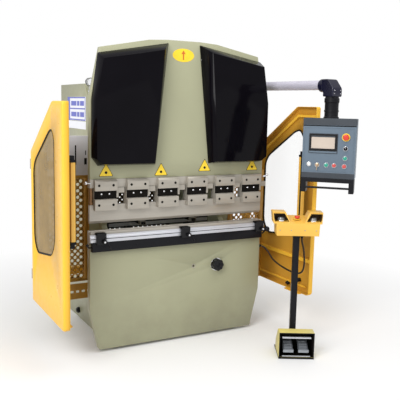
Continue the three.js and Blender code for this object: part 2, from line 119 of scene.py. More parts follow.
# ---- procedural materials ----
class Graph:
    """A Principled material whose colour, roughness and bump come from noise in the part's own space."""

    def __init__(self, name):
        self.material = bpy.data.materials.new(name)
        self.material.use_nodes = True
        self.tree = self.material.node_tree
        self.shader = self.tree.nodes["Principled BSDF"]
        self.place = self.node("ShaderNodeTexCoord").outputs["Object"]

    def node(self, kind, **inputs):
        made = self.tree.nodes.new(kind)
        for name, value in inputs.items():
            made.inputs[name.replace("_", " ")].default_value = value
        return made

    def link(self, source, target):
        self.tree.links.new(source, target)

    def noise(self, scale, detail, stretch=(1, 1, 1)):
        mapping = self.node("ShaderNodeMapping", Scale=stretch)
        self.link(self.place, mapping.inputs["Vector"])
        made = self.node("ShaderNodeTexNoise", Scale=scale, Detail=detail, Roughness=0.6)
        self.link(mapping.outputs["Vector"], made.inputs["Vector"])
        return made.outputs["Fac"]

    def ramp(self, source, low, high, start, end):
        made = self.node("ShaderNodeMapRange", From_Min=low, From_Max=high, To_Min=start, To_Max=end)
        self.link(source, made.inputs["Value"])
        return made.outputs["Result"]

    def times(self, a, b):
        made = self.node("ShaderNodeMath")
        made.operation = "MULTIPLY"
        self.link(a, made.inputs[0])
        self.link(b, made.inputs[1])
        return made.outputs[0]

    def mix(self, factor, source, colour):
        made = self.node("ShaderNodeMix")
        made.data_type = "RGBA"
        made.inputs[7].default_value = (*colour, 1)
        self.link(factor, made.inputs[0])
        self.link(source, made.inputs[6])
        return made.outputs[2]

    def height(self):
        split = self.node("ShaderNodeSeparateXYZ")
        self.link(self.place, split.inputs[0])
        return split.outputs["Z"]


BUMP = 0.0006  # the bump's full height, in metres
CLOUD = (0.3, 0.7)  # the noise values that patches run between


def surface(name, colour, rough, tone, patch=3, smudge=0.08, metallic=0, grain=700, depth=0.08,
            stretch=(1, 1, 1), fleck=None, soil=None, specular=0.5, alpha=1):
    """tone: how far the colour drifts in patches, patch: how many of them to a metre, smudge: how far the
    roughness drifts. fleck: (colour, scale, share). soil: (colour, height)."""
    graph = Graph(name)
    drift = graph.ramp(graph.noise(patch, 5.0, stretch), *CLOUD, 1 - tone, 1 + tone)
    tint = graph.node("ShaderNodeHueSaturation", Color=(*colour, 1))
    graph.link(drift, tint.inputs["Value"])
    shade = tint.outputs["Color"]
    if fleck:
        speck = graph.ramp(graph.noise(fleck[1], 6.0), 1 - fleck[2], 1.04 - fleck[2], 0, 0.7)
        shade = graph.mix(speck, shade, fleck[0])
    if soil:
        low = graph.ramp(graph.height(), 0, soil[1], 0.4, 0)
        cloud = graph.ramp(graph.noise(5.0, 6.0), 0.35, 0.7, 0.1, 1)
        shade = graph.mix(graph.times(low, cloud), shade, soil[0])
    graph.link(shade, graph.shader.inputs["Base Color"])
    wear = graph.noise(patch * 9, 5.0, stretch)
    spread = graph.ramp(wear, *CLOUD, max(rough - smudge, 0.02), rough + smudge)
    graph.link(spread, graph.shader.inputs["Roughness"])
    bump = graph.node("ShaderNodeBump", Strength=depth, Distance=BUMP)
    graph.link(graph.noise(grain, 3.0, stretch), bump.inputs["Height"])
    graph.link(bump.outputs["Normal"], graph.shader.inputs["Normal"])
    graph.shader.inputs["Metallic"].default_value = metallic
    graph.shader.inputs["Specular IOR Level"].default_value = specular
    graph.shader.inputs["Alpha"].default_value = alpha
    return graph.material


DUST = (0.16, 0.14, 0.10)
SAGE = surface("sage_paint", (0.345, 0.345, 0.225), 0.36, 0.04, 1.6, grain=520,
    fleck=((0.2, 0.2, 0.13), 150, 0.27), soil=(DUST, 0.5), specular=0.35)
GUARD = surface("guard_yellow", (0.90, 0.50, 0.045), 0.34, 0.03, 2.2, grain=560,
    fleck=((0.55, 0.30, 0.04), 140, 0.26), soil=((0.4, 0.22, 0.05), 0.45), specular=0.3)
# The guard paint darkened: painted shade for the guards' inner faces, standing in for the shade the machine casts
# on them.
GUARD_SHADED = surface("guard_yellow_painted_shade", (0.62, 0.31, 0.035), 0.42, 0.06, 2.6, grain=560,
    fleck=((0.35, 0.2, 0.04), 140, 0.27), soil=((0.3, 0.17, 0.05), 0.45), specular=0.25)
GOLD = surface("mesh_gold", (0.40, 0.20, 0.025), 0.45, 0.10, 6, 0.12, metallic=0.1)
# The mesh gold darkened to brown: painted shade for the rear panel, which sits in the machine's shadow.
REAR_MESH_SHADED = surface("mesh_gold_painted_shade", (0.10, 0.055, 0.015), 0.5, 0.15, 8, 0.12)
HEAD_PAINT = surface("pedestal_yellow", (0.80, 0.46, 0.075), 0.38, 0.05, 5, grain=620,
    fleck=((0.4, 0.25, 0.06), 200, 0.27))
PEDAL_PAINT = surface("pedal_yellow", (0.66, 0.56, 0.17), 0.42, 0.06, 5,
    fleck=((0.3, 0.26, 0.1), 180, 0.29), soil=(DUST, 0.12))
COVER = surface("gloss_black", (0.003, 0.0025, 0.004), 0.10, 0.2, 3, 0.03, grain=240, depth=0.02,
    specular=0.08)
ELBOW = surface("navy_black", (0.006, 0.006, 0.020), 0.20, 0.2, 3, 0.05, grain=300, depth=0.04,
    specular=0.4)
ENAMEL = surface("satin_black", (0.006, 0.006, 0.008), 0.38, 0.25, 7, 0.12,
    fleck=((0.03, 0.03, 0.03), 170, 0.27), specular=0.18)
# Near-black painted shade for recesses, sockets, slots, vents, gaps and hollow insides, where little light
# reaches.
SHADE_BLACK = surface("painted_recess_shade", (0.006, 0.005, 0.004), 0.65, 0.3, 9, 0.15, specular=0.1)
STEEL = surface("tool_steel", (0.40, 0.37, 0.32), 0.42, 0.08, 7, 0.10, metallic=0.45, grain=160,
    depth=0.06, stretch=(1, 6, 6), fleck=((0.2, 0.16, 0.11), 110, 0.27))
GROUND = surface("ground_steel", (0.42, 0.39, 0.34), 0.36, 0.07, 4, metallic=0.45, grain=220, depth=0.05,
    stretch=(0.5, 8, 8), fleck=((0.22, 0.18, 0.12), 120, 0.26))
ALUMINIUM = surface("rail_aluminium", (0.58, 0.59, 0.63), 0.34, 0.04, 3, 0.04, metallic=0.5, grain=260,
    depth=0.012, stretch=(0.3, 3, 3))
CHROME = surface("chrome", (0.78, 0.78, 0.80), 0.09, 0.03, 3, 0.04, metallic=1.0, depth=0.02)
BRONZE = surface("bronze", (0.30, 0.17, 0.08), 0.34, 0.18, 30, 0.12, metallic=0.6)
IRON = surface("cast_iron", (0.15, 0.19, 0.22), 0.52, 0.10, 12, 0.1, grain=300, depth=0.4)
CONSOLE_PAINT = surface("console_grey", (0.115, 0.155, 0.20), 0.42, 0.05, 6, 0.06, grain=800, depth=0.12,
    specular=0.3)
FASCIA = surface("fascia_grey", (0.045, 0.052, 0.062), 0.40, 0.10, 8, grain=900, depth=0.10, specular=0.25)
WHITE = surface("cover_white", (0.60, 0.59, 0.62), 0.40, 0.05, 6, grain=600,
    fleck=((0.3, 0.3, 0.3), 150, 0.26))
LABEL = surface("label_white", (0.80, 0.81, 0.86), 0.35, 0.03, 12, 0.05)
LABEL_BLUE = surface("label_blue", (0.10, 0.12, 0.50), 0.35, 0.06, 15, 0.05)
SIGN = surface("sign_yellow", (0.88, 0.62, 0.03), 0.30, 0.05, 30, 0.05)
SIGN_MARK = surface("sign_orange", (0.60, 0.15, 0.02), 0.35, 0.08, 40, 0.05)
RUBBER = surface("black_rubber", (0.008, 0.008, 0.007), 0.60, 0.2, 20, 0.1, grain=500, depth=0.3,
    specular=0.2)
PLASTIC = surface("black_plastic", (0.006, 0.006, 0.007), 0.30, 0.2, 25, grain=900, specular=0.25)
RED = surface("button_red", (0.62, 0.045, 0.02), 0.22, 0.06, 40, 0.06)
PUSH_RED = surface("lamp_red", (0.52, 0.065, 0.06), 0.22, 0.06, 40, 0.06)
PUSH_GREEN = surface("lamp_green", (0.02, 0.30, 0.21), 0.22, 0.06, 40, 0.06)
LENS = surface("lamp_white", (0.72, 0.74, 0.74), 0.15, 0.05, 60, 0.04)
SCREEN = surface("screen_film", (0.52, 0.44, 0.37), 0.16, 0.04, 9, 0.03)
PEDAL_STEEL = surface("pedal_grey", (0.15, 0.16, 0.18), 0.40, 0.12, 15, 0.12, metallic=0.3)
TINTED = surface("tinted_pane", (0.30, 0.19, 0.045), 0.16, 0.35, 3, 0.05, depth=0.01, alpha=0.80,
    specular=0.08)
CLEAR = surface("clear_pane", (0.86, 0.88, 0.86), 0.06, 0.03, 4, 0.03, depth=0.01, alpha=0.08)
JACKET = surface("cable_jacket", (0.022, 0.012, 0.007), 0.48, 0.12, 14, 0.1, grain=450, depth=0.2,
    specular=0.25)
TUBE = surface("pendant_silver", (0.52, 0.50, 0.58), 0.34, 0.05, 2.0, 0.05, metallic=0.15, grain=300,
    depth=0.03, stretch=(0.5, 6, 6))
BRASS = surface("key_metal", (0.50, 0.36, 0.24), 0.30, 0.08, 30, metallic=0.8)
# The head's yellow darkened to brown: painted shade for the insides of the palm hoods.
HOOD_SHADE = surface("hood_painted_shade", (0.085, 0.045, 0.012), 0.5, 0.2, 20, 0.1)
PALM = surface("palm_grey", (0.26, 0.26, 0.25), 0.28, 0.06, 40, metallic=0.3)
TREAD = surface("tread_grey", (0.30, 0.32, 0.35), 0.36, 0.10, 25, 0.1, metallic=0.2)

# ---- mesh building ----
SHARP = math.radians(33)  # a fold above this angle is an edge


def axis_point(axis, a, b, along):
    """(a, b) across the axis and the place along it, as x, y, z."""
    return {"x": (along, a, b), "y": (a, along, b), "z": (a, b, along)}[axis]


def rectangle(a0, a1, b0, b1):
    return [(a0, b0), (a1, b0), (a1, b1), (a0, b1)]


def rounded(points, radius, steps=5):
    """An outline with each corner turned on an arc."""
    result = []
    for i, corner in enumerate(points):
        here = Vector(corner)
        before = Vector(points[i - 1]) - here
        after = Vector(points[(i + 1) % len(points)]) - here
        reach = min(radius, before.length * 0.45, after.length * 0.45)
        start, end = here + before.normalized() * reach, here + after.normalized() * reach
        for k in range(steps + 1):
            t = k / steps
            result.append(tuple(start * (1 - t) ** 2 + here * 2 * t * (1 - t) + end * t ** 2))
    return result


def circle(radius, count, centre=(0, 0)):
    angles = [2 * math.pi * i / count for i in range(count)]
    return [(centre[0] + radius * math.cos(a), centre[1] + radius * math.sin(a)) for a in angles]


def finished(bm, name, body, material, bevel, nodes=(), slot=None, steps=2):
    """Turns a mesh in the row frame into a piece that rides on a body."""
    for face in bm.faces:
        face.smooth = True
    if not bevel:
        for edge in bm.edges:
            edge.smooth = not (edge.is_manifold and edge.calc_face_angle() > SHARP)
    mesh = bpy.data.meshes.new(name)
    bm.to_mesh(mesh)
    bm.free()
    mesh.materials.append(material)
    piece = bpy.data.objects.new(name, mesh)
    bpy.context.collection.objects.link(piece)
    if bevel:
        edge = piece.modifiers.new("edges", "BEVEL")
        edge.width = bevel * MM
        edge.segments = steps
        edge.limit_method = "ANGLE"
        edge.angle_limit = SHARP
        edge.harden_normals = True
    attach(piece, body)
    if nodes:
        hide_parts(*nodes)
        slot = slot or SLOTS[nodes[0]]
    return piece


def refine(node, material, bevel):
    """The CAD node's own shape with softened edges."""
    bm = bmesh.new()
    bm.from_mesh(frame["nodes"][node].data)
    bmesh.ops.remove_doubles(bm, verts=bm.verts, dist=1e-5)
    bmesh.ops.dissolve_limit(bm, angle_limit=0.02, verts=bm.verts, edges=bm.edges)
    many_sided = [face for face in bm.faces if len(face.verts) > 4]
    bmesh.ops.triangulate(bm, faces=many_sided, ngon_method="EAR_CLIP")
    return finished(bm, f"{node}_shell", BODY[node], material, bevel, [node])


class Build:
    """Collects shapes in millimetres of one place, then makes them one piece."""

    def __init__(self, place=MACHINE):
        self.bm = bmesh.new()
        self.place = place

    def loop(self, points):
        return [self.bm.verts.new(p) for p in points]

    def bridge(self, first, second):
        for i in range(len(first)):
            j = (i + 1) % len(first)
            self.bm.faces.new((first[i], first[j], second[j], second[i]))

    def prism(self, outline, axis, low, high):
        first = self.loop(axis_point(axis, a, b, low) for a, b in outline)
        second = self.loop(axis_point(axis, a, b, high) for a, b in outline)
        self.bridge(first, second)
        self.bm.faces.new(first)
        self.bm.faces.new(reversed(second))
        return self

    def block(self, x0, x1, y0, y1, z0, z1):
        return self.prism(rectangle(x0, x1, y0, y1), "z", z0, z1)

    def lathe(self, axis, centre, profile, count=28):
        """profile: (radius, place along the axis). Both ends close on the axis or as a flat cap."""
        rings = []
        for radius, along in profile:
            outline = circle(max(radius, 0.01), count, centre)
            rings.append(self.loop(axis_point(axis, a, b, along) for a, b in outline))
        for first, second in zip(rings, rings[1:]):
            self.bridge(first, second)
        self.bm.faces.new(rings[0])
        self.bm.faces.new(reversed(rings[-1]))
        return self

    def ring(self, axis, centre, inner, outer, low, high, count=32):
        rings = []
        for radius, along in ((inner, low), (outer, low), (outer, high), (inner, high)):
            rings.append(self.loop(axis_point(axis, a, b, along) for a, b in circle(radius, count, centre)))
        for i, first in enumerate(rings):
            self.bridge(first, rings[(i + 1) % 4])
        return self

    def tube(self, points, radius, count=10, closed=False):
        """A round bar along straight stretches; its section is kept square to each bend."""
        path = [Vector(p) for p in points]
        rings = []
        side = None
        for i, here in enumerate(path):
            before = path[i - 1] if closed or i else here
            after = path[(i + 1) % len(path)] if closed or i + 1 < len(path) else here
            ahead = (after - before).normalized()
            side = side or ahead.orthogonal()
            side = (side - ahead * side.dot(ahead)).normalized()
            other = ahead.cross(side)
            rings.append(self.loop(here + side * a + other * b for a, b in circle(radius, count)))
        for first, second in zip(rings, rings[1:]):
            self.bridge(first, second)
        if closed:
            self.bridge(rings[-1], rings[0])
        else:
            self.bm.faces.new(rings[0])
            self.bm.faces.new(reversed(rings[-1]))
        return self

    def four_bars(self, outer, inner, y0, y1):
        """A frame about a window; outer and inner are x0, x1, z0, z1."""
        x0, x1, z0, z1 = outer
        a0, a1, b0, b1 = inner
        self.block(x0, x1, y0, y1, b1, z1).block(x0, x1, y0, y1, z0, b0)
        return self.block(x0, a0, y0, y1, b0, b1).block(a1, x1, y0, y1, b0, b1)

    def screw(self, axis, centre, seat, out, radius, height):
        """A socket head on a face: seat is the face, out is +1 or -1 along the axis."""
        top = seat + out * height
        floor = seat + out * height * 0.4
        profile = [(radius, seat), (radius, top - out), (radius - 1, top), (radius * 0.52, top),
                   (radius * 0.45, floor), (0, floor)]
        return self.lathe(axis, centre, profile, 16)

    def screws(self, axis, centres, seat, out, radius, height):
        for centre in centres:
            self.screw(axis, centre, seat, out, radius, height)
        return self

    def hexhead(self, axis, centre, seat, out, radius, height):
        self.lathe(axis, centre, [(radius * 1.25, seat), (radius * 1.25, seat + out * 2)], 20)
        return self.prism(circle(radius, 6, centre), axis, seat + out * 2, seat + out * height)

    def ball(self, centre, radius):
        x, y, z = centre
        turns = [math.pi * k / 10 for k in range(11)]
        return self.lathe("z", (x, y), [(radius * math.sin(t), z - radius * math.cos(t)) for t in turns], 20)

    def done(self, name, material, bevel, body="frame", nodes=(), slot=None, steps=2):
        bmesh.ops.recalc_face_normals(self.bm, faces=self.bm.faces)
        self.bm.transform(self.place)
        return finished(self.bm, name, body, material, bevel, nodes, slot, steps)


# ---- cable: from the bed's right edge, sagging, up into the pedestal's head ----
CABLE_ROUTE = [
    (650.3, 22, 611), (668, 22, 611), (692, 6, 603), (708, -30, 575), (716, -70, 535),
    (722, -130, 508), (727, -200, 492), (731, -270, 483), (733, -330, 482), (730, -385, 492),
    (721, -430, 520), (708, -462, 570), (694, -478, 630), (680, -484, 690), (666.5, -480.7, 745),
    (665.5, -480, 790),
]
CABLE_LENGTH, CABLE_DIAMETER = 0.823, 0.012  # metres


def make_cable():
    data = bpy.data.curves.new("pedestal_lead", "CURVE")
    data.dimensions = "3D"
    data.bevel_depth = CABLE_DIAMETER / 2
    data.bevel_resolution = 4
    data.resolution_u = 8
    spline = data.splines.new("BEZIER")
    spline.bezier_points.add(len(CABLE_ROUTE) - 1)
    for knot, point in zip(spline.bezier_points, CABLE_ROUTE):
        knot.co = MACHINE @ Vector(point)
        knot.handle_left_type = knot.handle_right_type = "AUTO"
    data.materials.append(JACKET)
    lead = bpy.data.objects.new("pedestal_lead", data)
    bpy.context.collection.objects.link(lead)
    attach(lead, "frame")
    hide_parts("pedestal_cable")
    glands = Build()
    y, z = CABLE_ROUTE[0][1:]
    glands.lathe("x", (y, z), [(15, 650.3), (15, 658), (11, 660), (10.5, 668), (6.6, 682)], 20)
    x, y = CABLE_ROUTE[-1][:2]
    glands.lathe("z", (x, y), [(6.6, 764), (9.5, 776), (10, 782), (12, 784), (12, 790)], 20)
    reliefs = glands.done("cable_glands", RUBBER, 0.8)


make_cable()

# ---- CAD nodes kept in shape, with softened edges ----
SHELLS = (
    (SAGE, 2.5, ("left_side_frame", "right_side_frame", "bed_plate", "ram_plate")),
    (SAGE, 2.5, ("oil_tank", "electrical_cabinet")),
    (GUARD, 2.0, ("left_guard_post", "right_guard_post")),
    (COVER, 2.2, ("left_cylinder_cover", "right_cylinder_cover")),
    (GROUND, 0.8, ("punch", "die_block", "clamp_beam")),
    (STEEL, 1.2, ("left_cylinder", "right_cylinder")),
    (STEEL, 1.0, tuple(f"punch_clamp_{i}" for i in range(1, 7))),
    (CHROME, 1.0, ("left_piston_rod", "right_piston_rod")),
    (ALUMINIUM, 1.2, ("front_rail",)),
    (ENAMEL, 1.5, ("rail_backing_bar", "backgauge_base", "backgauge_beam", "pedestal_post")),
    (WHITE, 2.0, ("side_cover_plate",)),
    (HEAD_PAINT, 1.6, ("pedestal_head",)),
    (PEDAL_PAINT, 1.4, ("pedal_housing",)),
)
for paint, soft_edge, shell_nodes in SHELLS:
    for shell_node in shell_nodes:
        refine(shell_node, paint, soft_edge)


# ---- side frames, bed and the parts on them ----
FRAME_FACE = 480  # the side frames' outer faces


def frame_details():
    bolts, lugs = Build(), Build()
    for _, side in SIDES:
        x = side * FRAME_FACE
        for spot in ((90, 120), (90, 330), (90, 540), (90, 690), (120, 1500), (120, 1620)):
            bolts.hexhead("x", spot, x, side, 9, 6)
        stem = [(22, x), (22, x + side * 16), (14, x + side * 18), (14, x + side * 24)]
        lugs.lathe("x", (748, 60), stem, 24)
    bolts.done("frame_bolts", STEEL, 0.6)
    lugs.done("lifting_lugs", ENAMEL, 1.2)


def side_sign():
    """A field and a foot, with bands standing for the rows of a sign."""
    low, face = -FRAME_FACE - 1.6, -FRAME_FACE - 0.1
    plate = Build().block(low, face, 575, 1000, 1500, 1672)
    plate.done("side_sign_field", LABEL, 0.4, slot="cover_white")
    areas = [(940, 1000, 1500, 1672), (583, 592, 1511, 1662)]
    areas += [(583, 940, z, z + 9) for z in (1502, 1582, 1662)]
    areas += [(y0, y1, z, z + 34) for z in (1528, 1608) for y0, y1 in ((612, 700), (716, 770), (786, 910))]
    band = Build()
    for area in areas:
        band.block(low - 0.6, low - 0.1, *area)
    band.done("side_sign_bands", LABEL_BLUE, 0.1)
    Build().block(low, face, 575, 1000, 1440, 1496).done("side_sign_foot", LABEL, 0.4)


def shoulder_gauge():
    x, y = -460, 545
    stem = Build().lathe("z", (x, y), [(12, 1690), (12, 1700), (7, 1702), (7, 1745)], 20)
    stem.ball((x, y, 1712), 13).done("gauge_fitting", CHROME, 0.5)
    can = [(0, y - 18), (26, y - 18), (30, y - 14), (30, y + 14), (22, y + 18)]
    Build().lathe("y", (x, 1775), can).done("gauge_case", PLASTIC, 1.0)
    Build().ring("y", (x, 1775), 25, 30.5, y - 21, y - 14).done("gauge_bezel", CHROME, 0.8)
    Build().lathe("y", (x, 1775), [(25, y - 19), (25, y - 18.2)]).done("gauge_dial", LABEL, 0)


def handwheel():
    x, z = 286, 514
    scallops = []
    for turn in (2 * math.pi * i / 64 for i in range(64)):
        radius = 41 + 2 * math.cos(8 * turn)
        scallops.append((x + radius * math.cos(turn), z + radius * math.sin(turn)))
    rim = Build().prism(scallops, "y", -38, -10).lathe("y", (x, z), [(26, -10.5), (22, -4), (22, -1)])
    rim.done("handwheel_rim", PLASTIC, 3.5, "handwheel", ["stop_handwheel"], steps=3)
    Build().lathe("y", (x, z), [(10, -4), (10, 36)]).done("handwheel_shaft", CHROME, 0.8, "handwheel")
    cap = Build().lathe("y", (x, z), [(0, -44), (12, -43), (17, -39), (17, -37)])
    cap.done("handwheel_cap", ENAMEL, 0.8, "handwheel")
    Build().ring("y", (x, z), 28, 46, -5, -0.3).done("handwheel_flange", CHROME, 0.8)
    Build().ring("y", (104, 518), 9.5, 14, -1.8, -0.2).done("lubrication_bush", STEEL, 0.5)


frame_details()
side_sign()
shoulder_gauge()
handwheel()


# ---- ram: signs, cover screws, end levers ----
def triangle(cx, cz, half):
    rise = half * 1.732
    return [(cx - half, cz - rise / 3), (cx + half, cz - rise / 3), (cx, cz + rise * 2 / 3)]


def ram_signs():
    yellow, dark = Build(), Build()
    for cx, cz in ((-542, 1196), (-156, 1190), (174, 1210), (562, 1206)):
        dark.prism(rounded(triangle(cx, cz, 50), 10), "y", -0.5, -0.05)
        yellow.prism(rounded(triangle(cx, cz, 45), 9), "y", -0.9, -0.51)
        dark.lathe("y", (cx, cz - 4), [(9, -1.2), (9, -0.91)], 20)
    oval = [(-4 + 79 * a, 1952 + 43 * b) for a, b in circle(1, 48)]
    yellow.prism(oval, "y", -0.9, -0.05)
    yellow.done("sign_fields", SIGN, 0, "ram")
    dark.done("sign_borders", ENAMEL, 0, "ram")
    arrow = Build().block(-9, 1, -1.3, -0.91, 1922, 1962)
    arrow.prism([(-20, 1960), (12, 1960), (-4, 1984)], "y", -1.3, -0.91)
    arrow.done("sign_arrow", SIGN_MARK, 0, "ram")


def cover_screws():
    screws = Build()
    for _, side in SIDES:
        for x, z in ((630, 1620), (630, 1320), (214, 1300), (160, 1700), (130, 1930), (560, 1925)):
            screws.screw("y", (side * x, z), -6 if x < 600 else -10, -1, 4.5, 3)
    screws.done("cover_screws", CHROME, 0.4)


def ram_ends():
    levers = Build()
    levers.tube([(650, -12, 1130), (668, -12, 1132), (684, -12, 1140)], 4.5)
    levers.ball((688, -12, 1142), 9)
    levers.tube([(-650, -12, 1128), (-676, -12, 1130)], 4.5)
    levers.ball((-680, -12, 1130), 11)
    levers.done("ram_end_levers", CHROME, 0, "ram")
    column = Build()
    column.lathe("z", (-636, 22), [(12, 990), (12, 1094)], 24)
    column.lathe("z", (-636, 22), [(13, 986), (16, 990), (16, 1002), (13, 1004)], 24)
    column.done("end_column", BRONZE, 0.8, "ram")


ram_signs()
cover_screws()
ram_ends()


# ---- clamps ----
CLAMP_PITCH = 220


def clamp_details():
    sockets, recess, bright, steps = Build(), Build(), Build(), Build()
    for i in range(6):
        centre = (i - 2.5) * CLAMP_PITCH
        for dx in (-48, 48):
            for z in (1113, 987):
                # Near-black discs: painted shade inside the screws' sockets.
                sockets.lathe("y", (centre + dx, z), [(8.5, -30.6), (8.5, -29), (5, -29), (5, -30.2)], 18)
            bright.screw("y", (centre + dx * 0.55, 1056), -8, -1, 6, 5)
        # A thin near-black block: painted shade standing for the recess across the clamp's face.
        recess.block(centre - 74, centre + 74, -9, -8.2, 1024, 1076)
        steps.block(centre + 78, centre + 132, -6, 34, 1060, 1094.5)
        steps.block(centre + 78, centre + 92, -6, 30, 1030, 1060)
    sockets.done("clamp_socket_shade", SHADE_BLACK, 0.4, "ram")
    recess.done("clamp_recess_shade", SHADE_BLACK, 0.2, "ram")
    bright.done("clamp_screws", CHROME, 0.4, "ram")
    steps.done("clamp_wedges", STEEL, 0.8, "ram")


clamp_details()


# ---- rail and sheet slides ----
SCREW_PITCH = 225  # between the backing bar's screws


def slides():
    for name, x in (("left", -592), ("middle", 10), ("right", 608)):
        body = Build().block(x - 32, x + 32, -62, -38.3, 738, 812)
        body.block(x - 32, x + 32, -61.5, -16, 797.3, 812)
        body.done(f"{name}_slide_body", PLASTIC, 2.5, f"{name}_slide", [f"{name}_sheet_slide"])
        grip = [(0, -84), (9, -84), (12, -81), (12, -70), (8, -68), (8, -62)]
        Build().lathe("y", (x + 14, 758), grip).done(f"{name}_slide_knob", PLASTIC, 0.8, f"{name}_slide")
        tip = Build().lathe("y", (x + 14, 758), [(6, -85.5), (6.5, -84), (6.5, -82.5)], 20)
        tip.done(f"{name}_knob_tip", CHROME, 0.4, f"{name}_slide")
        lever_end, ball = ((x + 62, -62, 752), 19) if name == "right" else ((x + 46, -88, 720), 7)
        lever = Build().tube([(x + 20, -66, 776), (x + 30, -82, 756), lever_end], 4)
        lever.ball(lever_end, ball).done(f"{name}_slide_lever", ENAMEL, 0, f"{name}_slide")


def rail_details():
    # A near-black strip of painted shade stands for the rail's groove.
    Build().block(-658, 658, -38.2, -37.5, 770, 774).done("rail_groove_shade", SHADE_BLACK, 0)
    ends = Build()
    for _, side in SIDES:
        ends.tube([(side * 645, -20, 715), (side * 664, -20, 716), (side * 672, -20, 726)], 5)
        ends.ball((side * 674, -20, 732), 10)
    ends.done("rail_end_levers", PLASTIC, 0)
    bolts = Build().screws("y", [((i - 2.5) * SCREW_PITCH, 716) for i in range(6)], -34, -1, 7, 2)
    bolts.done("backing_bar_screws", ENAMEL, 0.4)
    blocks = Build()
    for x in (-600, 600):
        blocks.block(x - 24, x + 24, 52, 110, 742, 806)
    blocks.done("die_end_blocks", SAGE, 1.5)


slides()
rail_details()

# ---- perforated panels ----
HALF_PITCH = 21  # half the spacing of the holes along a row
ROW_PITCH = 21.8
MARGINS = 20  # the least that two opposite unperforated margins take together
PANEL_LOW, PANEL_HIGH = 414, 1146


def perforated(build, x0, x1, z0, z1, y, radius):
    """Staggered round holes: each sits in a diamond, and the diamonds tile the sheet within its margins."""
    columns = int((x1 - x0 - MARGINS) / (2 * HALF_PITCH))
    rows = int((z1 - z0 - MARGINS) / (2 * ROW_PITCH))
    left, low = (x0 + x1) / 2 - columns * HALF_PITCH, (z0 + z1) / 2 - rows * ROW_PITCH
    right, high = left + 2 * columns * HALF_PITCH, low + 2 * rows * ROW_PITCH
    corners = [(HALF_PITCH, 0), (0, ROW_PITCH), (-HALF_PITCH, 0), (0, -ROW_PITCH)]
    for i in range(2 * columns + 1):
        for j in range(i % 2, 2 * rows + 1, 2):
            cx, cz = left + i * HALF_PITCH, low + j * ROW_PITCH
            if 0 < i < 2 * columns and 0 < j < 2 * rows:
                edge = []
                for (ax, az), (bx, bz) in zip(corners, corners[1:] + corners[:1]):
                    edge += [(ax + (bx - ax) * k / 4, az + (bz - az) * k / 4) for k in range(4)]
                outer = build.loop((cx + a, y, cz + b) for a, b in edge)
                inner = build.loop((cx + a, y, cz + b) for a, b in circle(radius, 16))
                build.bridge(outer, inner)
            else:
                half = [(min(max(cx + a, left), right), min(max(cz + b, low), high)) for a, b in corners]
                kept = [p for k, p in enumerate(half) if p not in half[:k]]
                build.bm.faces.new(build.loop((a, y, b) for a, b in kept))
    margins = [(x0, x1, z0, low), (x0, x1, high, z1), (x0, left, low, high), (right, x1, low, high)]
    for margin in margins:
        build.bm.faces.new(build.loop((a, y, b) for a, b in rectangle(*margin)))
    bmesh.ops.remove_doubles(build.bm, verts=build.bm.verts, dist=0.01)


def thicken(piece, thickness):
    sheet = piece.modifiers.new("sheet", "SOLIDIFY")
    sheet.thickness = thickness * MM
    sheet.offset = 0


def mesh_panels():
    for label, side in SIDES:
        panel = Build()
        perforated(panel, *span(side, 560, 872), PANEL_LOW, PANEL_HIGH, 302, 11)
        thicken(panel.done(f"{label}_mesh_sheet", GOLD, 0, nodes=[f"{label}_mesh_panel"]), 3)
        bracket = Build().block(*span(side, 480.3, 553), 300, 303.5, PANEL_LOW, PANEL_HIGH)
        bracket.done(f"{label}_mesh_bracket", SAGE, 0.8)
        edge = Build().block(*span(side, 552, 560), 296, 308, PANEL_LOW, PANEL_HIGH)
        edge.done(f"{label}_mesh_edge", GOLD, 0.8)
        lower_panel(label, side)
    rear = Build()
    perforated(rear, -439.7, 439.7, 560, 1300, 1082, 6)
    # The rear sheet takes the darkened mesh gold: painted shade for its place in the machine's shadow.
    thicken(rear.done("rear_mesh_sheet", REAR_MESH_SHADED, 0, nodes=["rear_mesh_panel"]), 3)


def lower_panel(label, side):
    """The plain strip with a row of slots under the perforated panel."""
    strip = Build()
    for z0, z1 in ((290, 334), (350, 398)):
        strip.block(*span(side, 484, 872), 300, 304, z0, z1)
    for i in range(10):
        centre = side * (496 + i * 40)
        strip.block(centre - 9, centre + 9, 300, 304, 334, 350)
    strip.done(f"{label}_slotted_strip", GOLD, 0.5)


def cover_plate_details():
    # Near-black strips of painted shade stand for the cover plate's slots.
    marks = Build().block(-650, -641, 298.6, 299.9, 1218, 1348)
    marks.block(-579, -573, 298.9, 299.9, 1282, 1312).block(-586, -568, 298.9, 299.9, 1218, 1262)
    marks.done("cover_plate_slot_shade", SHADE_BLACK, 0.3)
    screws = Build().screws("y", grid((-735, -505), (1170, 1388)), 300, -1, 6, 4)
    screws.done("cover_plate_screws", STEEL, 0.5)


mesh_panels()
cover_plate_details()

# ---- side guards ----
GUARD_FACE = 917  # the sheet's outer face; the rubber trim stands out to the guard's full width
GUARD_DEEP = 40
FOLD = 11  # the radius of the rim's bend
HINGE_Y = 427
GUARD_OUTLINE = [(-310, 302), (-292, 287), (417, 287), (417, 1310), (-90, 1636), (-310, 1636)]
WINDOW_OUTLINE = [(-140, 790), (-70, 700), (270, 650), (340, 730), (340, 1195), (300, 1255),
                  (-30, 1455), (-90, 1470), (-140, 1415)]


def inset(points, amount):
    """The outline moved inwards, for points listed anticlockwise."""
    result = []
    for i, corner in enumerate(points):
        here = Vector(corner)
        before = (here - Vector(points[i - 1])).normalized()
        after = (Vector(points[(i + 1) % len(points)]) - here).normalized()
        normal = (before + after).normalized()
        shift = Vector((-normal.y, normal.x)) * amount / max(before.dot(normal), 0.3)
        result.append(tuple(here + shift))
    return result


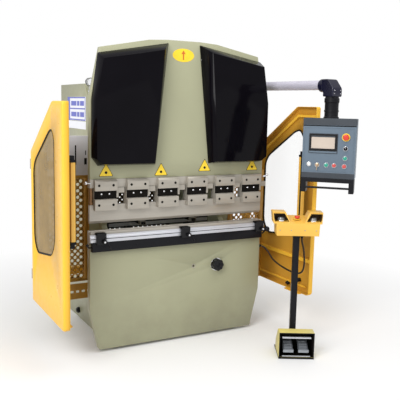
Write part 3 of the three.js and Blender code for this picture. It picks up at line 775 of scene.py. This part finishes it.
def guard_pan(label, side):
    outline = rounded(GUARD_OUTLINE, 14, 4)
    build = Build()
    rings = []
    for k in range(6):
        turn = k / 5 * math.pi / 2
        points = inset(outline, FOLD * (1 - math.sin(turn)))
        x = side * (GUARD_FACE - FOLD * (1 - math.cos(turn)))
        rings.append(build.loop((x, a, b) for a, b in points))
    rings.append(build.loop((side * (GUARD_FACE - GUARD_DEEP), a, b) for a, b in outline))
    for first, second in zip(rings, rings[1:]):
        build.bridge(first, second)
    hole = build.loop((side * GUARD_FACE, a, b) for a, b in rounded(WINDOW_OUTLINE, 45, 6))
    edges = [build.bm.edges.get((rings[0][i - 1], rings[0][i])) for i in range(len(rings[0]))]
    edges += [build.bm.edges.new((hole[i - 1], hole[i])) for i in range(len(hole))]
    bmesh.ops.triangle_fill(build.bm, use_beauty=True, edges=edges)
    pan = build.done(f"{label}_guard_pan", GUARD, 0, f"{label}_side_guard", [f"{label}_guard"])
    thicken(pan, 3.6)
    # The sheet's inner shell takes the darkened guard paint: painted shade on the inner faces.
    pan.data.materials.append(GUARD_SHADED)
    pan.modifiers["sheet"].offset = -1
    pan.modifiers["sheet"].material_offset = 1


def guard_details(label, side):
    body = f"{label}_side_guard"
    trim = Build().tube([(side * 912.5, a, b) for a, b in rounded(WINDOW_OUTLINE, 45, 6)], 6.4, 10, True)
    trim.done(f"{label}_window_trim", RUBBER, 0, body)
    pane = Build().prism(rounded(inset(WINDOW_OUTLINE, -4), 45, 6), "x", *span(side, 909.5, 913))
    pane.done(f"{label}_window_pane", TINTED if side < 0 else CLEAR, 0, body, [f"{label}_guard_window"])
    folds = Build()
    folds.block(*span(side, 893, 912), -298, 408, 520, 548)
    folds.block(*span(side, 900, 912), -240, 408, 326, 340)
    brow = [(-296, 1560), (-84, 1560), (408, 1244), (408, 1266), (-74, 1580), (-296, 1580)]
    folds.prism(inset(brow, 1), "x", *span(side, 896, 912))
    ledge = rounded(rectangle(838, 879, -244, -60), 18)
    folds.prism([(side * x, y) for x, y in ledge], "z", 288, 292)
    folds.done(f"{label}_guard_folds", GUARD, 1.6, body)
    latches = Build()
    for y, z in ((-30, 316), (-162, 370)):
        latches.lathe("x", (y, z), [(15, side * 912), (15, side * 896), (9, side * 892), (9, side * 884)])
        latches.block(*span(side, 886, 896), y - 26, y + 6, z - 6, z + 6)
    for z0, z1 in ((700, 744), (1560, 1600)):
        latches.block(*span(side, 880, 885), -305, -300, z0, z1)
    latches.done(f"{label}_guard_latches", ENAMEL, 1.2, body)
    hinges, posts = Build(), Build()
    for z in (470, 1220):
        hinges.lathe("z", (side * 912, HINGE_Y), [(6, z - 34), (6, z - 1)], 18)
        hinges.block(*span(side, 880, 910), 417.3, 420, z - 34, z - 2)
        posts.lathe("z", (side * 912, HINGE_Y), [(6, z), (6, z + 34)], 18)
        posts.block(*span(side, 805, 908), 433, 435.5, z + 1, z + 34)
    hinges.done(f"{label}_hinge_leaves", STEEL, 0.5, body)
    posts.done(f"{label}_post_leaves", STEEL, 0.5)


def light_curtain(label, side):
    body = f"{label}_side_guard"
    bar = Build().prism(rectangle(-250, -205, 812, 1284), "x", *span(side, 822, 850))
    bar.done(f"{label}_curtain_bar", HEAD_PAINT, 3, body, [f"{label}_light_curtain"])
    ends = Build()
    for z0, z1 in ((795, 811), (1285, 1300)):
        ends.block(*span(side, 819, 850), -250, -205, z0, z1)
    for z in (770, 1299):
        ends.block(*span(side, 826, 913), -244, -211, z + 1, z + 25)
    ends.block(*span(side, 818, 821.8), -246, -232, 811, 1285)
    ends.done(f"{label}_curtain_ends", ENAMEL, 1.5, body)
    screws = Build().screws("y", grid((side * 870, side * 895), (783, 1312)), -244, -1, 4.5, 3)
    screws.done(f"{label}_curtain_screws", CHROME, 0.3, body)


for guard_label, guard_side in SIDES:
    guard_pan(guard_label, guard_side)
    guard_details(guard_label, guard_side)
    light_curtain(guard_label, guard_side)

# ---- pendant arm, drawn along x from its pivot ----
ARM_Z = 1778  # the tube's centre line
SWIVEL_Z = 1662  # where the console's neck meets the elbow


def pendant_arm():
    end = REACH
    tube = Build(ARM).lathe("x", (0, ARM_Z), [(31, 34), (32, 35), (32, end - 60)], 44)
    tube.done("pendant_tube", TUBE, 0, "arm", slot="rail_aluminium")
    elbow = [(end - 45, SWIVEL_Z + 40), (end + 45, SWIVEL_Z + 40), (end + 45, ARM_Z - 21),
             (end - 5, ARM_Z + 38), (end - 62, ARM_Z + 38), (end - 62, ARM_Z - 40), (end - 45, ARM_Z - 45)]
    bend = Build(ARM).prism(rounded(elbow, 10, 4), "y", -45, 45)
    bend.done("pendant_elbow", ELBOW, 9, "arm", ["pendant_arm"], steps=3)
    collars = Build(ARM)
    collars.lathe("x", (0, ARM_Z - 3), [(38, end - 100), (43, end - 95), (43, end - 55)], 44)
    collars.lathe("z", (0, 0), [(42, ARM_Z - 44.5), (42, ARM_Z + 33), (36, ARM_Z + 40)], 44)
    collars.lathe("x", (0, ARM_Z), [(37, 30), (37, 56), (33, 60)], 44)
    collars.done("pendant_collars", ELBOW, 2, "arm")
    flare = [(45, SWIVEL_Z + 0.4), (49, SWIVEL_Z + 4), (49, SWIVEL_Z + 30), (44, SWIVEL_Z + 34),
             (44, SWIVEL_Z + 42)]
    Build(ARM).lathe("z", (end, 0), flare, 44).done("pendant_skirt", ENAMEL, 1.2, "arm")
    screws = Build(ARM).screws("x", grid((-28, 28), (1722, 1744)), end + 45, 1, 3.5, 2)
    screws.done("pendant_screws", CHROME, 0.3, "arm")


pendant_arm()

# ---- console ----
FACE = -51  # the console's front, towards the operator
CASE_HALF, CASE_LOW, CASE_TOP = 172, 1170, 1563
SCREEN_WINDOW = (-114, 38, 1366, 1450)
KNOBS = {"estop": (108, 1443), "selector": (108, 1370), "green_a": (-11, 1259), "red_a": (40, 1258),
         "green_b": (108, 1307), "red_b": (105, 1255), "key": (-70, 1258), "lamp": (-124, 1262)}


def console_case():
    case = Build(CONSOLE).block(-CASE_HALF, CASE_HALF, FACE + 1, 77, CASE_LOW, CASE_TOP)
    case.done("console_case", CONSOLE_PAINT, 4, "console", ["console_box"], steps=3)
    band = Build(CONSOLE).block(-CASE_HALF, CASE_HALF, FACE, 0, 1518, CASE_TOP)
    band.block(-171, 171, FACE, 0, CASE_LOW + 1, 1208)
    band.done("console_bands", FASCIA, 2.5, "console")
    Build(CONSOLE).block(-171, 171, FACE - 0.2, -30, 1511, 1517).done("console_seam", SHADE_BLACK, 0, "console")
    ridge = Build(CONSOLE).four_bars((-160, 160, 1216, 1500), (-158, 158, 1218, 1498), FACE - 0.8, FACE + 2)
    ridge.done("console_ridge", CONSOLE_PAINT, 0.3, "console")
    stem = [(50, CASE_TOP), (50, CASE_TOP + 8), (45, CASE_TOP + 12), (45, SWIVEL_Z - 12), (46, SWIVEL_Z)]
    neck = Build(CONSOLE).lathe("z", (0, 0), stem, 44)
    neck.ring("z", (0, 0), 44, 48, 1604, 1616, 44).done("console_neck", ENAMEL, 1.2, "console")
    legs = Build(CONSOLE).block(-CASE_HALF, CASE_HALF, FACE, 33, 1143, CASE_LOW - 0.2)
    for _, side in SIDES:
        legs.block(*span(side, 139, CASE_HALF), FACE, 33, 1075, 1144)
    legs.done("console_bridge", ENAMEL, 2.5, "console")
    grip = Build(CONSOLE).lathe("x", (FACE + 7, 1107.5), [(7, -140), (7, 140)], 24)
    grip.done("console_grip", ENAMEL, 0.6, "console")
    back = Build(CONSOLE).block(-158, 158, 76, 79, 1184, 1549)
    for z in range(1222, 1326, 13):
        back.block(-52, 52, 78, 81, z, z + 5)
    back.done("console_back", CONSOLE_PAINT, 1.0, "console")
    screws = Build(CONSOLE).screws("y", grid((-148, 148), (1195, 1366, 1538)), 79, 1, 4, 2.5)
    screws.done("console_back_screws", STEEL, 0.4, "console")


def console_screen():
    seat = rounded(rectangle(-130, 57, 1334, 1464), 5)
    Build(CONSOLE).prism(seat, "y", FACE - 1.5, FACE + 0.9).done("screen_seat", FASCIA, 0.6, "console")
    bezel = Build(CONSOLE).four_bars((-126, 52, 1352, 1461), SCREEN_WINDOW, FACE - 6, FACE - 1.4)
    bezel.done("screen_bezel", PLASTIC, 1.2, "console")
    x0, x1, z0, z1 = SCREEN_WINDOW
    Build(CONSOLE).block(x0, x1, FACE - 3, FACE - 1.4, z0, z1).done("screen_film", SCREEN, 0, "console")
    header = Build(CONSOLE).block(x0, x1, FACE - 3.3, FACE - 3, z1 - 10, z1)
    header.done("screen_header", FASCIA, 0, "console")
    plate = Build(CONSOLE).block(-126, 52, FACE - 3.5, FACE - 1.4, 1338, 1349)
    plate.done("screen_foot", CONSOLE_PAINT, 0.8, "console")


def standing(profile):
    """A profile for lathe from pairs of radius and distance out of the console's face."""
    return [(radius, FACE - out) for radius, out in profile]


def push_button(name, material):
    """name is the button's body, such as red_push_a."""
    colour, _, row = name.split("_")
    profile = standing([(8, 5.2), (12.2, 5.2), (12.2, 11.5), (10, 13), (0, 13.4)])
    cap = Build(CONSOLE).lathe("y", KNOBS[f"{colour}_{row}"], profile, 36)
    cap.done(f"{name}_cap", material, 0, name, [f"{colour}_button_{row}"])


def console_stop():
    plate = Build(CONSOLE).ring("y", KNOBS["estop"], 13, 26, FACE - 1.8, FACE + 2, 48)
    plate.done("estop_plate", SIGN, 0.6, "console")
    cap = standing([(11, 7), (18, 8), (20, 11), (20, 17), (17.5, 22), (10, 23), (0, 23)])
    head = Build(CONSOLE).lathe("y", KNOBS["estop"], cap, 48)
    head.done("console_stop_head", RED, 0, "console_stop_button", ["console_estop"])
    stem = Build(CONSOLE).lathe("y", KNOBS["estop"], standing([(11, 7.2), (11, 4.2)]), 32)
    stem.done("console_stop_stem", PLASTIC, 0, "console_stop_button")


def console_turners():
    x, z = KNOBS["selector"]
    knob = Build(CONSOLE).lathe("y", (x, z), standing([(12, 1), (12, 8), (10.5, 9)]), 32)
    knob.prism(rounded(rectangle(x - 5, x + 5, z - 12, z + 12), 4), "y", FACE - 24, FACE - 8.5)
    knob.done("selector_knob", PLASTIC, 1.2, "mode_selector", ["console_selector"])
    line = Build(CONSOLE).block(x - 1, x + 1, FACE - 24.5, FACE - 24, z + 2, z + 11)
    line.done("selector_line", LABEL, 0, "mode_selector")
    x, z = KNOBS["key"]
    lock = Build(CONSOLE).lathe("y", (x, z), standing([(12, 1), (12, 7), (9, 8.5)]), 32)
    lock.block(x - 1.8, x + 1.8, FACE - 20, FACE - 8, z - 5, z + 5)
    lock.prism(rounded(rectangle(x - 1.9, x + 1.9, z - 33, z + 5), 1), "y", FACE - 29, FACE - 18)
    lock.done("key_and_lock", BRASS, 0.8, "key", ["key_switch"])


def console_controls():
    rings = Build(CONSOLE)
    for out, knobs in ((5.5, ("green_a", "red_a", "green_b", "red_b", "lamp")), (3, ("selector", "key"))):
        for knob in knobs:
            rings.ring("y", KNOBS[knob], 12.8, 15.8, FACE - out, FACE + 2, 40)
    rings.done("button_rings", CHROME, 0.8, "console")
    lamp = standing([(12.2, 0), (12.2, 8), (9, 11.5), (0, 12.5)])
    Build(CONSOLE).lathe("y", KNOBS["lamp"], lamp, 36).done("console_lamp", LENS, 0, "console")
    for colour, material in (("green", PUSH_GREEN), ("red", PUSH_RED)):
        for row in ("a", "b"):
            push_button(f"{colour}_push_{row}", material)


console_case()
console_screen()
console_stop()
console_turners()
console_controls()

# ---- pedestal ----
FOOT_PLATE = 6
HOOD_FLOOR = 852
HOOD_ROOF = 905
POCKET_WALLS = ([(56.2, 852.6), (57.2, 852.6), (89, 904), (88, 904)],
                [(153, 852.6), (153.8, 852.6), (160.6, 904), (159.8, 904)])
PALM_X, STOP_Y = 107, -5
PEDAL_HINGE = (-66, 92)  # y and z
TREAD_PITCH, TREAD_SLOPE = 13, 0.463
HOUSING_HALF = 109  # half the housing's inner width


def pedestal_head():
    # The hoods' back walls, roofs and pocket walls are lined with sheets of painted shade.
    linings, lips = Build(HEAD), Build(HEAD)
    for _, side in SIDES:
        back = [(side * 56.5, 852.5), (side * 153.5, 852.5), (side * 160.5, 904.5), (side * 88.5, 904.5)]
        linings.prism(back, "y", 44, 44.8)
        linings.block(*span(side, 88.5, 160.5), -40, 44, HOOD_ROOF - 0.9, HOOD_ROOF - 0.1)
        for wall in POCKET_WALLS:
            linings.prism([(side * x, z) for x, z in wall], "y", -50, 44)
        lips.block(*span(side, 81, 167), -34, -26, HOOD_ROOF + 2, HOOD_ROOF + 10.5)
    linings.done("hood_shade_linings", HOOD_SHADE, 0)
    lips.done("hood_lips", HEAD_PAINT, 3)
    seats = Build(HEAD)
    for _, side in SIDES:
        seats.ring("z", (side * PALM_X, -PALM_BACK), 25.5, 31, HOOD_FLOOR - 6, HOOD_FLOOR + 9, 40)
    seats.done("palm_seats", CHROME, 1.0)
    mushroom = [(10, 850), (24, 858.5), (24, 868), (20, 876), (10, 878), (0, 878)]
    for label, side in SIDES:
        cap = Build(HEAD).lathe("z", (side * PALM_X, -PALM_BACK), mushroom, 40)
        cap.done(f"{label}_palm_cap", PALM, 0, f"{label}_palm", [f"{label}_palm_button"])
    Build(HEAD).ring("z", (0, STOP_Y), 9, 25, 864.5, 867.5, 40).done("pedestal_stop_plate", SIGN, 0.6)
    profile = [(8, 866), (8, 873), (16, 873.5), (18, 877), (18, 883), (15, 887.4), (0, 888)]
    stop = Build(HEAD).lathe("z", (0, STOP_Y), profile, 40)
    stop.done("pedestal_stop_head", RED, 0, "pedestal_stop_button", ["pedestal_estop"])
    Build(HEAD).block(-23.5, 23.5, -23.5, 23.5, 740, 761.8).done("post_collar", ENAMEL, 2)
    screws = Build(HEAD).screws("y", grid((-120, -45, 45, 120), (800,)), -70, -1, 4, 2)
    screws.done("head_screws", STEEL, 0.3)


def pedals():
    y, z = PEDAL_HINGE
    section = [(6, 0), (0, 6), (-30, -2), (-125, -46), (-125, -57), (-30, -14), (0, -6)]
    for label, side in SIDES:
        x0, x1 = span(side, 16, 84)
        plate = Build(PEDESTAL).prism([(y + a, z + b) for a, b in section], "x", x0, x1)
        plate.done(f"{label}_pedal_plate", PEDAL_STEEL, 2, f"{label}_foot_pedal", [f"{label}_pedal"])
        treads = Build(PEDESTAL)
        for k in range(6):
            a, b = y - 46 - TREAD_PITCH * k, z - 9.5 - TREAD_PITCH * k * TREAD_SLOPE
            treads.block(x0 + 8, x1 - 8, a - 3, a + 3, b - 3, b + 2.4)
        treads.block(x0, x1, y - 126, y - 110, z - 56.5, z - 39)
        treads.done(f"{label}_pedal_treads", TREAD, 1.2, f"{label}_foot_pedal")


def pedal_box():
    half = HOUSING_HALF
    # Near-black sheets lining the housing's inside: painted shade.
    inside = Build(PEDESTAL)
    inside.block(-half, half, -38.6, -37.4, 12, 66)
    side_lining = [(-208, 12), (-39, 12), (-39, 66), (-131.5, 169), (-208, 169)]
    for _, side in SIDES:
        inside.prism(side_lining, "x", *span(side, half - 0.2, half + 0.6))
    inside.block(-half, half, -208, -40, 11.5, 12.3).block(-half, half, -208, -132, 169.4, 170.4)
    inside.prism([(-38, 67), (-130.5, 170), (-131.5, 169.2), (-39, 66)], "x", -half, half)
    inside.done("housing_shade_lining", SHADE_BLACK, 0)
    rods = Build(PEDESTAL)
    for low, high in ((-109.6, -85), (-15.5, 15.5), (85, 109.6)):
        rods.lathe("x", PEDAL_HINGE, [(4, low), (4, high)], 16)
    rods.done("pedal_pin", STEEL, 0.4)
    bar = Build(PEDESTAL).block(-94, 94, -207, -192, 136, 146).block(-92, 92, -207, -199, 13, 19)
    bar.done("housing_bars", ALUMINIUM, 2)
    rim = Build(PEDESTAL).four_bars((-115, 115, 6.4, 176), (-half, half, 12, 170), -213, -211.7)
    rim.done("housing_rim", ENAMEL, 0.4)
    bolts = Build(PEDESTAL)
    for x, y, radius, height in ((104, 12, 8, 6), (28, 0, 6, 5)):
        for _, side in SIDES:
            bolts.hexhead("z", (side * x, y), FOOT_PLATE, 1, radius, height)
    bolts.done("foot_bolts", STEEL, 0.5)


pedestal_head()
pedals()
pedal_box()


# ---- behind the ram: hydraulics, cabinet, back gauge ----
TANK_TOP = 1700.3
CABINET_DOOR = 645  # its outer face


def pump_and_tank():
    axis = (800, 1820)
    case = [(60, -20), (92, -12), (95, 10), (95, 236), (90, 248), (90, 292), (80, 300)]
    motor = Build().lathe("x", axis, case, 44)
    motor.block(90, 190, 748, 852, 1900, 1934)
    for x in (20, 200):
        motor.block(x, x + 40, 730, 870, TANK_TOP, 1740)
    motor.done("motor_case", IRON, 2, nodes=["pump_motor"])
    fins = Build()
    for turn in (2 * math.pi * (i + 0.5) / 22 for i in range(22)):
        if abs(math.cos(turn)) >= 0.25:
            y, z = axis[0] + 98 * math.cos(turn), axis[1] + 98 * math.sin(turn)
            fins.block(16, 232, y - 5, y + 5, z - 2, z + 2)
    fins.done("motor_fins", IRON, 0.8)
    casing = [(30, -122), (52, -118), (58, -100), (58, -40), (66, -38), (66, -22)]
    Build().lathe("x", axis, casing, 36).done("pump_body", ENAMEL, 1.5)
    neck = [(28, 1694), (40, 1700.5), (40, 1712), (34, 1716), (34, 1736), (30, 1740)]
    Build().lathe("z", (-300, 800), neck, 32).done("filler_cap", PLASTIC, 1.2)
    valves = Build().block(-80, 60, 560, 680, TANK_TOP, 1752)
    for x in (-50, 0, 40):
        valves.lathe("z", (x, 620), [(17, 1750), (17, 1800), (13, 1806)], 24)
    valves.done("valve_block", STEEL, 1.8)
    pipes = Build()
    for _, side in SIDES:
        x = side * 424
        route = rounded([(side * 30, 0), (side * 370, 0), (side * 395, 120)], 20, 4)
        path = [(a, 600 - b, 1728) for a, b in route]
        path += [(x, 300, 1728), (x, 180, 1700), (x, 130, 1650), (x, 84, 1650)]
        pipes.tube(path, 7, 12).lathe("y", (x, 1650), [(12, 84), (12, 104), (9, 108)], 6)
    pipes.tube([(-80, 620, 1726), (-110, 640, 1726), (-116, 720, 1760), (-100, 760, 1790)], 9, 12)
    pipes.done("oil_pipes", CHROME, 0)
    Build().block(300, 324, 1100, 1108, 1420, 1600).done("tank_level_frame", ENAMEL, 1.5)
    Build().block(306, 318, 1107, 1110, 1436, 1584).done("tank_level_glass", SCREEN, 0)
    Build().block(-260, 160, 1100, 1104, 1400, 1640).done("tank_hatch", SAGE, 1.5)
    bolts = Build()
    for spot in grid((-245, -145, -50, 45, 145), (1415, 1625)):
        bolts.hexhead("y", spot, 1104, 1, 7, 5)
    bolts.done("tank_bolts", STEEL, 0.5)


def cabinet_details():
    Build().block(640, CABINET_DOOR, 634, 1006, 714, 1486).done("cabinet_door", SAGE, 2)
    fittings = Build().block(CABINET_DOOR, 652, 650, 672, 1060, 1150)
    fittings.lathe("x", (661, 1170), [(9, CABINET_DOOR), (9, 651)], 20)
    for z in (800, 1400):
        fittings.lathe("z", (650, 1004), [(6, z), (6, z + 60)], 16)
    fittings.done("cabinet_fittings", ENAMEL, 1.2)
    # Near-black strips of painted shade stand for the door's vent slots.
    vents = Build()
    for z in range(780, 924, 16):
        vents.block(CABINET_DOOR, CABINET_DOOR + 1.5, 740, 900, z, z + 6)
    vents.done("cabinet_vent_shade", SHADE_BLACK, 0.4)
    switch = Build().lathe("x", (820, 1380), [(34, CABINET_DOOR), (34, 652), (16, 654), (16, 668)], 32)
    switch.done("cabinet_switch", RED, 1.0)


def gauge_details():
    tips, screws = Build(), Build()
    for _, side in SIDES:
        tips.block(*span(side, 176, 219), 190, 226, 797, 824)
        screws.screws("z", grid((side * 197,), (345, 375)), 822, 1, 5, 4)
        screws.screws("z", grid((side * 232, side * 268), (330,)), 770, 1, 5, 4)
    tips.done("gauge_tips", GROUND, 1.0, "backgauge")
    screws.done("gauge_screws", STEEL, 0.4, "backgauge")
    Build().block(-396, 396, 338.6, 340, 768, 792).done("gauge_scale", ALUMINIUM, 0.3, "backgauge")


def cylinder_details():
    bolts = Build()
    for _, side in SIDES:
        bolts.screws("z", circle(49, 6, (side * 460, 20)), 1780, 1, 6, 5)
    bolts.done("cylinder_bolts", STEEL, 0.4)


pump_and_tank()
cabinet_details()
gauge_details()
cylinder_details()


# ---- floor and light, in metres ----
FLOOR_RADIUS = 60
FLOOR_LEVEL = -0.0005
FADE = (1.3, 3.0)  # from the machine's middle, where the floor starts to brighten and where it is white


def make_floor():
    """A pale floor that brightens to the white backdrop away from the machine."""
    bm = bmesh.new()
    bmesh.ops.create_circle(bm, cap_ends=True, segments=64, radius=FLOOR_RADIUS)
    mesh = bpy.data.meshes.new("floor")
    bm.to_mesh(mesh)
    bm.free()
    floor = bpy.data.objects.new("floor", mesh)
    floor.location.z = FLOOR_LEVEL
    bpy.context.collection.objects.link(floor)
    graph = Graph("pale_floor")
    graph.shader.inputs["Base Color"].default_value = (0.86, 0.86, 0.86, 1)
    graph.shader.inputs["Roughness"].default_value = 0.7
    length = graph.node("ShaderNodeVectorMath")
    length.operation = "LENGTH"
    graph.link(graph.place, length.inputs[0])
    away = graph.ramp(length.outputs["Value"], *FADE, 0.0, 1.0)
    glow = graph.node("ShaderNodeEmission", Color=(1, 1, 1, 1), Strength=1.0)
    blend = graph.node("ShaderNodeMixShader")
    graph.link(away, blend.inputs[0])
    graph.link(graph.shader.outputs[0], blend.inputs[1])
    graph.link(glow.outputs[0], blend.inputs[2])
    output = next(n for n in graph.tree.nodes if n.bl_idname == "ShaderNodeOutputMaterial")
    graph.link(blend.outputs[0], output.inputs["Surface"])
    mesh.materials.append(graph.material)


def area_light(name, place, target, size, power):
    data = bpy.data.lights.new(name, "AREA")
    data.size = size
    data.energy = power
    lamp = bpy.data.objects.new(name, data)
    lamp.location = place
    lamp.rotation_euler = (Vector(target) - Vector(place)).to_track_quat("-Z", "Y").to_euler()
    bpy.context.collection.objects.link(lamp)


def make_light():
    world = bpy.data.worlds.new("studio")
    world.use_nodes = True
    nodes, join = world.node_tree.nodes, world.node_tree.links.new
    soft, backdrop = nodes["Background"], nodes.new("ShaderNodeBackground")
    for light, strength in ((soft, 0.7), (backdrop, 1.0)):
        light.inputs["Color"].default_value = (1, 1, 1, 1)
        light.inputs["Strength"].default_value = strength
    blend = nodes.new("ShaderNodeMixShader")
    join(nodes.new("ShaderNodeLightPath").outputs["Is Camera Ray"], blend.inputs[0])
    join(soft.outputs[0], blend.inputs[1])
    join(backdrop.outputs[0], blend.inputs[2])
    join(blend.outputs[0], nodes["World Output"].inputs["Surface"])
    bpy.context.scene.world = world
    bpy.context.scene.view_settings.view_transform = "Standard"
    area_light("key", (-4.5, -3.5, 4.0), (0, 0, 1.0), 3.0, 260)
    area_light("top", (0.5, -1.5, 5.0), (0, 0, 1.0), 4.0, 90)


make_floor()
make_light()
